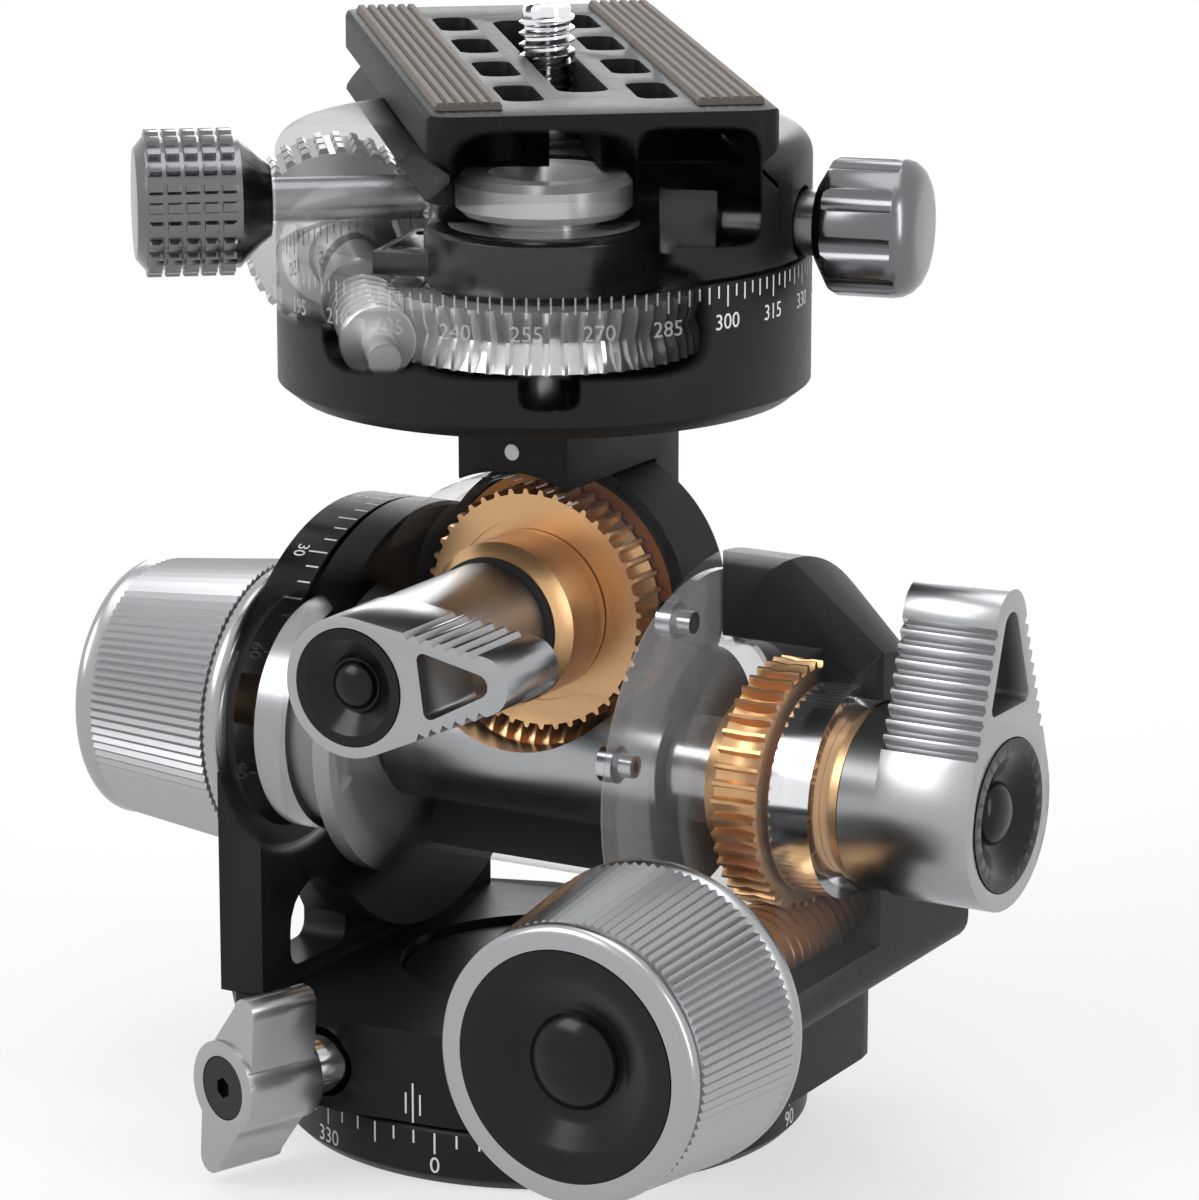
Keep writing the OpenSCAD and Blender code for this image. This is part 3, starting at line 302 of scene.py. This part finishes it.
def seen_through(f, names):
    """As clear as the named windows say inside them, and 0 elsewhere."""
    point = f.parts(f.place())
    ahead = lean(point, AHEAD, EYE)
    zoom = 100 * LENS / SENSOR
    across = lean(point, ACROSS, EYE) / ahead * zoom
    up = lean(point, UPWARD, EYE) / ahead * zoom
    away = lean(point, AWAY) * (1 / MM)
    mask = None
    for name in names:
        (a, b), (half_a, half_b), power, depth, clear = WINDOWS[name]
        rim = ((across - a) / half_a).maths("POWER", power)
        rim = rim + ((up - b) / half_b).maths("POWER", power)
        behind = away.smooth(depth - SOFT_DEPTH, depth + SOFT_DEPTH)
        window = (1 - rim.smooth(1 - SOFT_RIM, 1 + SOFT_RIM)) * (1 - behind)
        if clear < 1:
            window = window * clear
        mask = window if mask is None else mask.maths("MAXIMUM", window)
    return mask


def opened(f, mask, alpha=0.06):
    f.set(Alpha=1 - mask * (1 - alpha))
    return f


def cut_coat(name, colour, rough, windows, grain=0.35):
    f = dark_coat(name, colour, rough, grain)
    return opened(f, seen_through(f, windows))


def scale_paint(name, windows=(), left=0.22):
    """White paint for marks, fainter where the casting under it is open."""
    f = Finish(name)
    f.set(Base_Color=(0.8, 0.8, 0.8, 1), Roughness=f.noise(3000.0) * 0.2 + 0.45)
    return opened(f, seen_through(f, windows), left) if windows else f


KNOB = ("pan knob", "pan knob, far wall")
GEARS = KNOB + ("pan worm", "pan wheel")
drum_coat = cut_coat("drum coat", BLACK, 0.42, GEARS + ("hub lug", "spindle thread"))
clamp_coat = cut_coat("clamp coat", BLACK, 0.42,
                      GEARS + ("pan hub", "hub lug", "cone nut", "brake"))
plate_coat = cut_coat("plate coat", BLACK, 0.5, ("cone nut", "brake"))
plate_coat.set(Specular_IOR_Level=0.12)
bracket_coat = cut_coat("top bracket coat", BLACK, 0.42, ("spindle thread",))
frame_coat = cut_coat("bracket coat", CASTING, 0.46, ("roll worm", "left knob"), 0.5)
body_coat = cut_coat("mid body coat", CASTING, 0.46, ("disc",), 0.5)
for coat in (frame_coat, body_coat, bracket_coat):
    coat.set(Specular_IOR_Level=0.16)
screw_coat = turned("clamp screw steel", (0.5, 0.51, 0.53), 0.25)
opened(screw_coat, seen_through(screw_coat, ("pan knob, far wall",)), 0.1)
paint = scale_paint("white paint")
drum_paint = scale_paint("drum scale paint", GEARS)
roll_paint = scale_paint("roll scale paint", ("left knob",), 0.02)
print("windows cut:", len(WINDOWS))

# %% [markdown]
# Each solid now gets its finish. The solids arrive as loose triangles, so a
# weld and an edge split are added as modifiers: round faces then shade as
# round ones, and the real edges stay sharp. The pieces in SOFT also get a fine
# bevel, in mm, which catches the light along their edges.

# %% Finishes of the solids
def smooth_solid(obj, soften, angle=30):
    """Shades round faces as round; soften, in mm, also rounds the real edges."""
    for face in obj.data.polygons:
        face.use_smooth = True
    weld = obj.modifiers.new("weld", "WELD")
    weld.merge_threshold = 0.002 * MM
    if soften:
        flat = obj.modifiers.new("flat faces", "DECIMATE")
        flat.decimate_type, flat.angle_limit = "DISSOLVE", math.radians(1)
        edge = obj.modifiers.new("soft edges", "BEVEL")
        edge.width, edge.segments = soften * MM, 2
        edge.limit_method, edge.angle_limit = "ANGLE", math.radians(32)
    split = obj.modifiers.new("split", "EDGE_SPLIT")
    split.split_angle = math.radians(angle)


SOFT = {
    "roll_lever": 0.35, "pitch_lever": 0.35, "base_lock_knob": 0.5, "camera_plate": 0.3,
    "top_bracket": 0.3, "clamp_body": 0.25, "clamp_jaw": 0.25, "pan_bracket": 0.3,
    "pan_hub": 0.2, "brake_blocks": 0.3, "clamp_knob": 0.35, "pan_lock_knob": 0.3,
    "pan_drum": 0.15, "base_ring": 0.15,
}
FINISHES = {
    "base_ring": black, "retainer_disc": black, "retainer_screws": steel,
    "pan_bracket": frame_coat, "gearbox_cover": clear_shell, "roll_bearing": chrome,
    "base_lock_knob": silver, "base_lock_stud": chrome, "base_lock_screw": plastic,
    "mid_body": body_coat, "mid_cover": clear_shell, "worm_tube": silver_x,
    "left_trunnion": clear_disc, "trunnion_ring": silver_x, "worm_bush": bronze,
    "roll_flange": clear_part, "flange_screws": steel, "roll_hub": steel,
    "roll_wheel": bronze, "roll_sleeve": bronze, "roll_ring": bronze,
    "roll_lever": silver, "roll_lever_cap": plastic,
    "roll_worm": bronze, "roll_knob": silver_y, "roll_knob_cap": plastic,
    "pitch_worm": bronze, "pitch_knob": silver_x, "pitch_knob_cap": plastic,
    "top_bracket": bracket_coat, "pitch_shaft": steel, "pitch_wheel": bronze,
    "pitch_hub": bronze, "pitch_seal": rubber, "pitch_washer": brown,
    "pan_spindle": painted_light_steel, "cone_nut": painted_light_steel, "pan_wheel": gear_with_painted_light,
    "pitch_lever": silver, "pitch_lever_cap": plastic,
    "pan_drum": drum_coat, "pan_worm": painted_light_steel, "pan_knob": clear_knob,
    "clamp_body": clamp_coat, "pan_hub": inner_black, "pan_bearing": painted_light_steel,
    "brake_blocks": inner_black, "pan_lock_knob": gunmetal, "pan_lock_screw": gunmetal,
    "clamp_jaw": clamp_coat, "clamp_knob": gunmetal, "clamp_screw": screw_coat,
    "camera_plate": plate_coat, "grip_strips": strip, "camera_screw": chrome,
}
for name, solid in nodes.items():
    solid.data.materials.clear()
    solid.data.materials.append(FINISHES[name].material)
    smooth_solid(solid, SOFT.get(name, 0))
print("solids dressed:", len(nodes))

# %% [markdown]
# A few helpers for new pieces. join() makes one mesh of several objects, and
# finish_piece() gives it a name, a finish and a body to ride on, and hides the
# solids that it replaces.

# %% Helpers for pieces
def pick(obj):
    """Leaves one object selected and active."""
    bpy.ops.object.select_all(action="DESELECT")
    obj.select_set(True)
    bpy.context.view_layer.objects.active = obj


def apply_all(obj):
    """Moves an object's place, turn and size into its mesh."""
    pick(obj)
    bpy.ops.object.transform_apply(location=True, rotation=True, scale=True)
    obj.select_set(False)
    return obj


def join(objs):
    pick(objs[0])
    for obj in objs:
        obj.select_set(True)
    if len(objs) > 1:
        bpy.ops.object.join()
    return apply_all(bpy.context.object)


def finish_piece(obj, name, finish, body, replaced=()):
    obj.name = name
    obj.data.name = name
    obj.data.materials.clear()
    obj.data.materials.append(finish.material)
    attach(obj, body)
    if replaced:
        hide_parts(*replaced)
    print(name, "has", len(obj.data.polygons), "faces")
    return obj


print("piece helpers ready")

# %% [markdown]
# The scales are engraved and filled with white paint. Every mark is a thin
# slip of mesh lying on the round face: ticks are small boxes placed at their
# angle, and digits are text turned into a mesh and then bent round the axis,
# by giving every point its own angle. Working in a local frame, with the axis
# along Z, lets one pair of functions serve all the scales.

# %% Scale makers
MARK_T = 0.03 * MM
TEXT_SIZE = 1.38  # text size for digits 1 high


def tick(radius, angle, low, high, width=0.22):
    """One tick on a cylinder round Z: angle in degrees, heights in mm."""
    bpy.ops.mesh.primitive_cube_add(size=1)
    obj = bpy.context.object
    obj.scale = (MARK_T * 2, width * MM, (high - low) * MM)
    turn = Matrix.Rotation(math.radians(angle), 4, "Z")
    place = Matrix.Translation((radius * MM, 0, (low + high) / 2 * MM))
    obj.matrix_world = turn @ place @ Matrix.Diagonal((*obj.scale, 1))
    return obj


def digits(text, radius, angle, centre, height):
    """A number bent round a cylinder about Z, centred on an angle and a height in mm."""
    bpy.ops.object.text_add()
    obj = bpy.context.object
    obj.data.body = text
    obj.data.align_x, obj.data.align_y = "CENTER", "CENTER"
    obj.data.size = height * TEXT_SIZE * MM
    obj.data.resolution_u = 3
    obj.data.extrude = MARK_T
    bpy.ops.object.convert(target="MESH")
    obj = bpy.context.object
    for point in obj.data.vertices:
        x, y, z = point.co
        a = math.radians(angle) + x / (radius * MM)
        r = radius * MM + z
        point.co = (r * math.cos(a), r * math.sin(a), centre * MM + y)
    return obj


def place_scale(objs, matrix=None):
    piece = join(objs)
    if matrix is not None:
        piece.data.transform(matrix)
    return piece


print("scale makers ready, marks", MARK_T / MM, "mm thick")

# %% [markdown]
# The base ring is graduated every 5 degrees, with longer lines every 15 and a
# number every 30. Zero is just right of the front.

# %% Base scale
BASE_R, BASE_ZERO = 30.0, -84.0
BASE_TOP, BASE_SHORT, BASE_LONG = 6.1, 4.6, 3.7
BASE_NUMBER_AT, BASE_NUMBER_H = 2.3, 1.9
marks = []
for degree in range(0, 360, 5):
    low = BASE_LONG if degree % 15 == 0 else BASE_SHORT
    marks.append(tick(BASE_R, BASE_ZERO + degree, low, BASE_TOP))
for degree in range(0, 360, 30):
    marks.append(digits(str(degree), BASE_R, BASE_ZERO + degree, BASE_NUMBER_AT, BASE_NUMBER_H))
finish_piece(place_scale(marks), "base_scale_marks", paint, "base")

# %% [markdown]
# Three short lines on the bracket's front show where to read the base scale.
# The middle one is the longest.

# %% Base index
FLOOR_R, INDEX_AT, INDEX_STEP = 30.08, -89.0, 1.72
MIDDLE_LINE, SIDE_LINE = (6.95, 11.5), (7.9, 10.3)
index = [tick(FLOOR_R, INDEX_AT, *MIDDLE_LINE)]
index += [tick(FLOOR_R, INDEX_AT + side * INDEX_STEP, *SIDE_LINE) for side in (-1, 1)]
finish_piece(place_scale(index), "base_index_lines", paint, "pan_bracket")

# %% [markdown]
# The drum is graduated every 2.5 degrees and numbered every 15, with lines of
# three lengths. The numbers sit under the lines, and grow counter-clockwise.

# %% Drum scale
DRUM_R, DRUM_ZERO, DRUM_STEP = 29.6, -318.5, 2.5
DRUM_TOP, DRUM_SHORT, DRUM_MIDDLE, DRUM_LONG = 99.6, 98.3, 97.8, 97.3
DRUM_NUMBER_AT, DRUM_NUMBER_H = 95.6, 1.75
THIN = 0.2
marks = []
for step in range(int(360 / DRUM_STEP)):
    low = DRUM_LONG if step % 6 == 0 else (DRUM_MIDDLE if step % 2 == 0 else DRUM_SHORT)
    marks.append(tick(DRUM_R, DRUM_ZERO + step * DRUM_STEP, low, DRUM_TOP, THIN))
for degree in range(0, 360, 15):
    marks.append(digits(str(degree), DRUM_R, DRUM_ZERO + degree, DRUM_NUMBER_AT, DRUM_NUMBER_H))
finish_piece(place_scale(marks), "drum_scale_marks", drum_paint, "pan_drum")

# %% [markdown]
# The roll scale is on the round top of the left upright, and the pitch scale on
# the round back of the casting. Their cylinders lie along X and Y, so the marks
# are made round Z and turned over.

# %% Roll and pitch scales
ROLL_R, ROLL_Z = 26.0, 42.7
ROLL_TOP, ROLL_SHORT, ROLL_LONG = -20.6, -22.2, -23.0
ROLL_NUMBER_AT, ROLL_NUMBER_H = -24.1, 1.5
LAY_ALONG_X = Matrix(((0, 0, 1), (1, 0, 0), (0, 1, 0))).to_4x4()
marks = []
for degree in range(0, 181, 5):
    low = ROLL_LONG if degree % 15 == 0 else ROLL_SHORT
    marks.append(tick(ROLL_R, degree, low, ROLL_TOP, THIN))
for degree in range(0, 181, 30):
    marks.append(digits(str(abs(degree - 90)), ROLL_R, degree, ROLL_NUMBER_AT, ROLL_NUMBER_H))
roll_place = Matrix.Translation((0, 0, ROLL_Z * MM)) @ LAY_ALONG_X
finish_piece(place_scale(marks, roll_place), "roll_scale_marks", roll_paint,
             "pan_bracket")

PITCH_R, PITCH_Z = 16.3, 59.0
PITCH_TOP, PITCH_SHORT, PITCH_LONG = 9.0, 7.6, 6.8
LAY_ALONG_Y = Matrix(((1, 0, 0), (0, 0, -1), (0, 1, 0))).to_4x4()
marks = []
for degree in range(-30, 31, 5):
    low = PITCH_LONG if degree % 15 == 0 else PITCH_SHORT
    marks.append(tick(PITCH_R, 90 + degree, low, PITCH_TOP, THIN))
pitch_place = Matrix.Translation((0, 0, PITCH_Z * MM)) @ LAY_ALONG_Y
finish_piece(place_scale(marks, pitch_place), "pitch_scale_marks", paint,
             "mid_body")

# %% [markdown]
# The camera screw is a real thread. A zigzag of one pitch is drawn at the
# screw's radius and the Screw modifier sweeps it up and round. The tip is a
# bevelled slug with a slot for a coin, and a flange and a core close the thread.

# %% Camera screw
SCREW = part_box("camera_screw")
screw_x = (SCREW[0][0] + SCREW[1][0]) / 2
screw_y = (SCREW[0][1] + SCREW[1][1]) / 2
screw_top, screw_low = SCREW[1][2], SCREW[0][2]
THREAD_PITCH, CORE, CREST = 1.27, 2.55, 3.175
THREAD_STOPS = 1.6  # below the top
TIP_R, TIP_H, TIP_BEVEL = 2.75, 2.6, 0.5
SLOT_LENGTH, SLOT_WIDTH, SLOT_DEPTH = 7, 0.9, 0.8
FLANGE_R, FLANGE_H, FLANGE_BEVEL = 7.0, 2.9, 0.3
CORE_LOW, CORE_STOPS, CORE_BEVEL = 1, 1.8, 0.05
SCREW_TURN = 70


def threaded_rod(pitch, core, crest, length):
    """A thread about Z with its lower end at the origin, in mm."""
    points = [(core, 0), (core, pitch * 0.15), (crest, pitch * 0.45),
              (crest, pitch * 0.6), (core, pitch * 0.9), (core, pitch)]
    bpy.ops.mesh.primitive_plane_add(size=MM)
    obj = bpy.context.object
    bpy.ops.object.mode_set(mode="EDIT")
    bpy.ops.mesh.merge(type="CENTER")
    bpy.ops.transform.translate(value=(points[0][0] * MM, 0, points[0][1] * MM))
    for (x0, z0), (x1, z1) in zip(points, points[1:]):
        step = ((x1 - x0) * MM, 0, (z1 - z0) * MM)
        bpy.ops.mesh.extrude_vertices_move(TRANSFORM_OT_translate={"value": step})
    bpy.ops.object.mode_set(mode="OBJECT")
    sweep = obj.modifiers.new("thread", "SCREW")
    sweep.steps = sweep.render_steps = 32
    sweep.screw_offset = pitch * MM
    sweep.iterations = max(1, int(length / pitch))
    sweep.use_merge_vertices = True
    pick(obj)
    bpy.ops.object.modifier_apply(modifier="thread")
    return obj


def slug(radius, low, high, bevel, sides=48):
    """A closed disc about Z with bevelled edges, in mm."""
    bpy.ops.mesh.primitive_cylinder_add(vertices=sides, radius=radius * MM,
                                        depth=(high - low) * MM,
                                        location=(0, 0, (low + high) / 2 * MM))
    obj = apply_all(bpy.context.object)
    edge = obj.modifiers.new("edge", "BEVEL")
    edge.width, edge.segments = bevel * MM, 2
    edge.limit_method, edge.angle_limit = "ANGLE", math.radians(40)
    pick(obj)
    bpy.ops.object.modifier_apply(modifier="edge")
    return obj


def carve(obj, tool):
    """Cuts one closed piece out of another."""
    cut = obj.modifiers.new("cut", "BOOLEAN")
    cut.object, cut.operation, cut.solver = tool, "DIFFERENCE", "EXACT"
    pick(obj)
    bpy.ops.object.modifier_apply(modifier="cut")
    bpy.data.objects.remove(tool)
    return obj


length = (screw_top - screw_low) / MM
rod = threaded_rod(THREAD_PITCH, CORE, CREST, length - THREAD_STOPS)
tip = slug(TIP_R, length - TIP_H, length, TIP_BEVEL)
bpy.ops.mesh.primitive_cube_add(size=1, location=(0, 0, length * MM))
slot_tool = bpy.context.object
slot_tool.scale = (SLOT_LENGTH * MM, SLOT_WIDTH * MM, 2 * SLOT_DEPTH * MM)
carve(tip, apply_all(slot_tool))
flange = slug(FLANGE_R, 0, FLANGE_H, FLANGE_BEVEL)
core = slug(CORE + 0.02, CORE_LOW, length - CORE_STOPS, CORE_BEVEL)
camera_screw = join([rod, tip, flange, core])
screw_place = Matrix.Translation((screw_x, screw_y, screw_low))
camera_screw.data.transform(screw_place @ Matrix.Rotation(math.radians(SCREW_TURN), 4, "Z"))
pick(camera_screw)
bpy.ops.object.shade_smooth_by_angle(angle=math.radians(30))
finish_piece(camera_screw, "camera_screw_thread", chrome, "camera_screw",
             ("camera_screw",))

# %% [markdown]
# A painted dot on the neck of the top bracket shows where the head is level.

# %% Level dot
DOT_R, DOT_AT = 0.9, (0, -7.2, 77.9)
DOT_BACK, DOT_FRONT, DOT_BEVEL, DOT_SIDES = -0.02, 0.04, 0.015, 32
dot = slug(DOT_R, DOT_BACK, DOT_FRONT, DOT_BEVEL, DOT_SIDES)
dot_place = Matrix.Translation([c * MM for c in DOT_AT])
dot.data.transform(dot_place @ Matrix.Rotation(math.radians(90), 4, "X"))
finish_piece(dot, "level_dot", paint, "top_bracket")

# %% [markdown]
# The studio is plain. The floor takes the object's shadow near the base and
# fades to white further out. That whiteness is only for rays from the camera,
# from mirrors and through clear pieces, so it doesn't light the dark parts.

# %% Floor
FLOOR_SIZE = 6
FADE_FROM, FADE_TO, NEAR_WHITE = 0.10, 0.34, 0.62


def seen_rays(tree):
    """1 for rays from the camera, mirrors and clear pieces, and 0 for the rest."""
    path = tree.nodes.new("ShaderNodeLightPath")
    eye, mirror, clear = [Wire(tree, path.outputs["Is " + kind + " Ray"])
                          for kind in ("Camera", "Glossy", "Transmission")]
    return eye.maths("MAXIMUM", mirror).maths("MAXIMUM", clear)


bpy.ops.mesh.primitive_plane_add(size=FLOOR_SIZE)
floor = bpy.context.object
floor.name = "studio floor"
floor_paint = Finish("floor paint")
tree = floor_paint.tree
floor_paint.set(Base_Color=(0.9, 0.9, 0.9, 1), Roughness=0.9)
glow = tree.nodes.new("ShaderNodeEmission")
glow.inputs["Color"].default_value = (1, 1, 1, 1)
mix = tree.nodes.new("ShaderNodeMixShader")
x, y = floor_paint.parts(floor_paint.place())[:2]
from_base = (x * x + y * y).maths("SQRT")
white = from_base.smooth(FADE_FROM, FADE_TO) * (1 - NEAR_WHITE) + NEAR_WHITE
plug(tree, mix.inputs[0], seen_rays(tree) * white)
tree.links.new(floor_paint.shader.outputs[0], mix.inputs[1])
tree.links.new(glow.outputs[0], mix.inputs[2])
tree.links.new(mix.outputs[0], tree.nodes["Material Output"].inputs["Surface"])
floor.data.materials.append(floor_paint.material)
print("floor is", floor.dimensions.x, "m wide")

# %% [markdown]
# The sky is white to the eye and gives a softer light from all round. One broad
# lamp stands at the upper left, a strip on the right, one hangs above and one
# stands behind, so that the dark parts get a bright line along their edges.

# %% World and lamps
SKY_LIGHT = 0.4
AIM = Vector((0, 0, 0.06))
world = bpy.data.worlds.new("studio")
bpy.context.scene.world = world
world.use_nodes = True
tree = world.node_tree
sky = tree.nodes["Background"]
sky.inputs["Color"].default_value = (1, 1, 1, 1)
plug(tree, sky.inputs["Strength"], seen_rays(tree) * (1 - SKY_LIGHT) + SKY_LIGHT)


def lamp(name, place, size, power):
    """A rectangular soft lamp that faces the middle of the head."""
    bpy.ops.object.light_add(type="AREA", location=place)
    obj = bpy.context.object
    obj.name = name
    obj.data.shape = "RECTANGLE"
    obj.data.size, obj.data.size_y = size
    obj.data.energy = power
    obj.rotation_euler = (AIM - Vector(place)).to_track_quat("-Z", "Y").to_euler()
    return obj


lamp("broad lamp", place=(-0.35, -0.55, 0.55), size=(0.45, 0.45), power=3.2)
lamp("strip on the right", place=(0.75, -0.15, 0.30), size=(0.12, 0.6), power=1.8)
lamp("top lamp", place=(0.05, 0.05, 0.75), size=(0.5, 0.5), power=1.6)
lamp("back lamp", place=(-0.30, 0.60, 0.30), size=(0.3, 0.5), power=1.6)
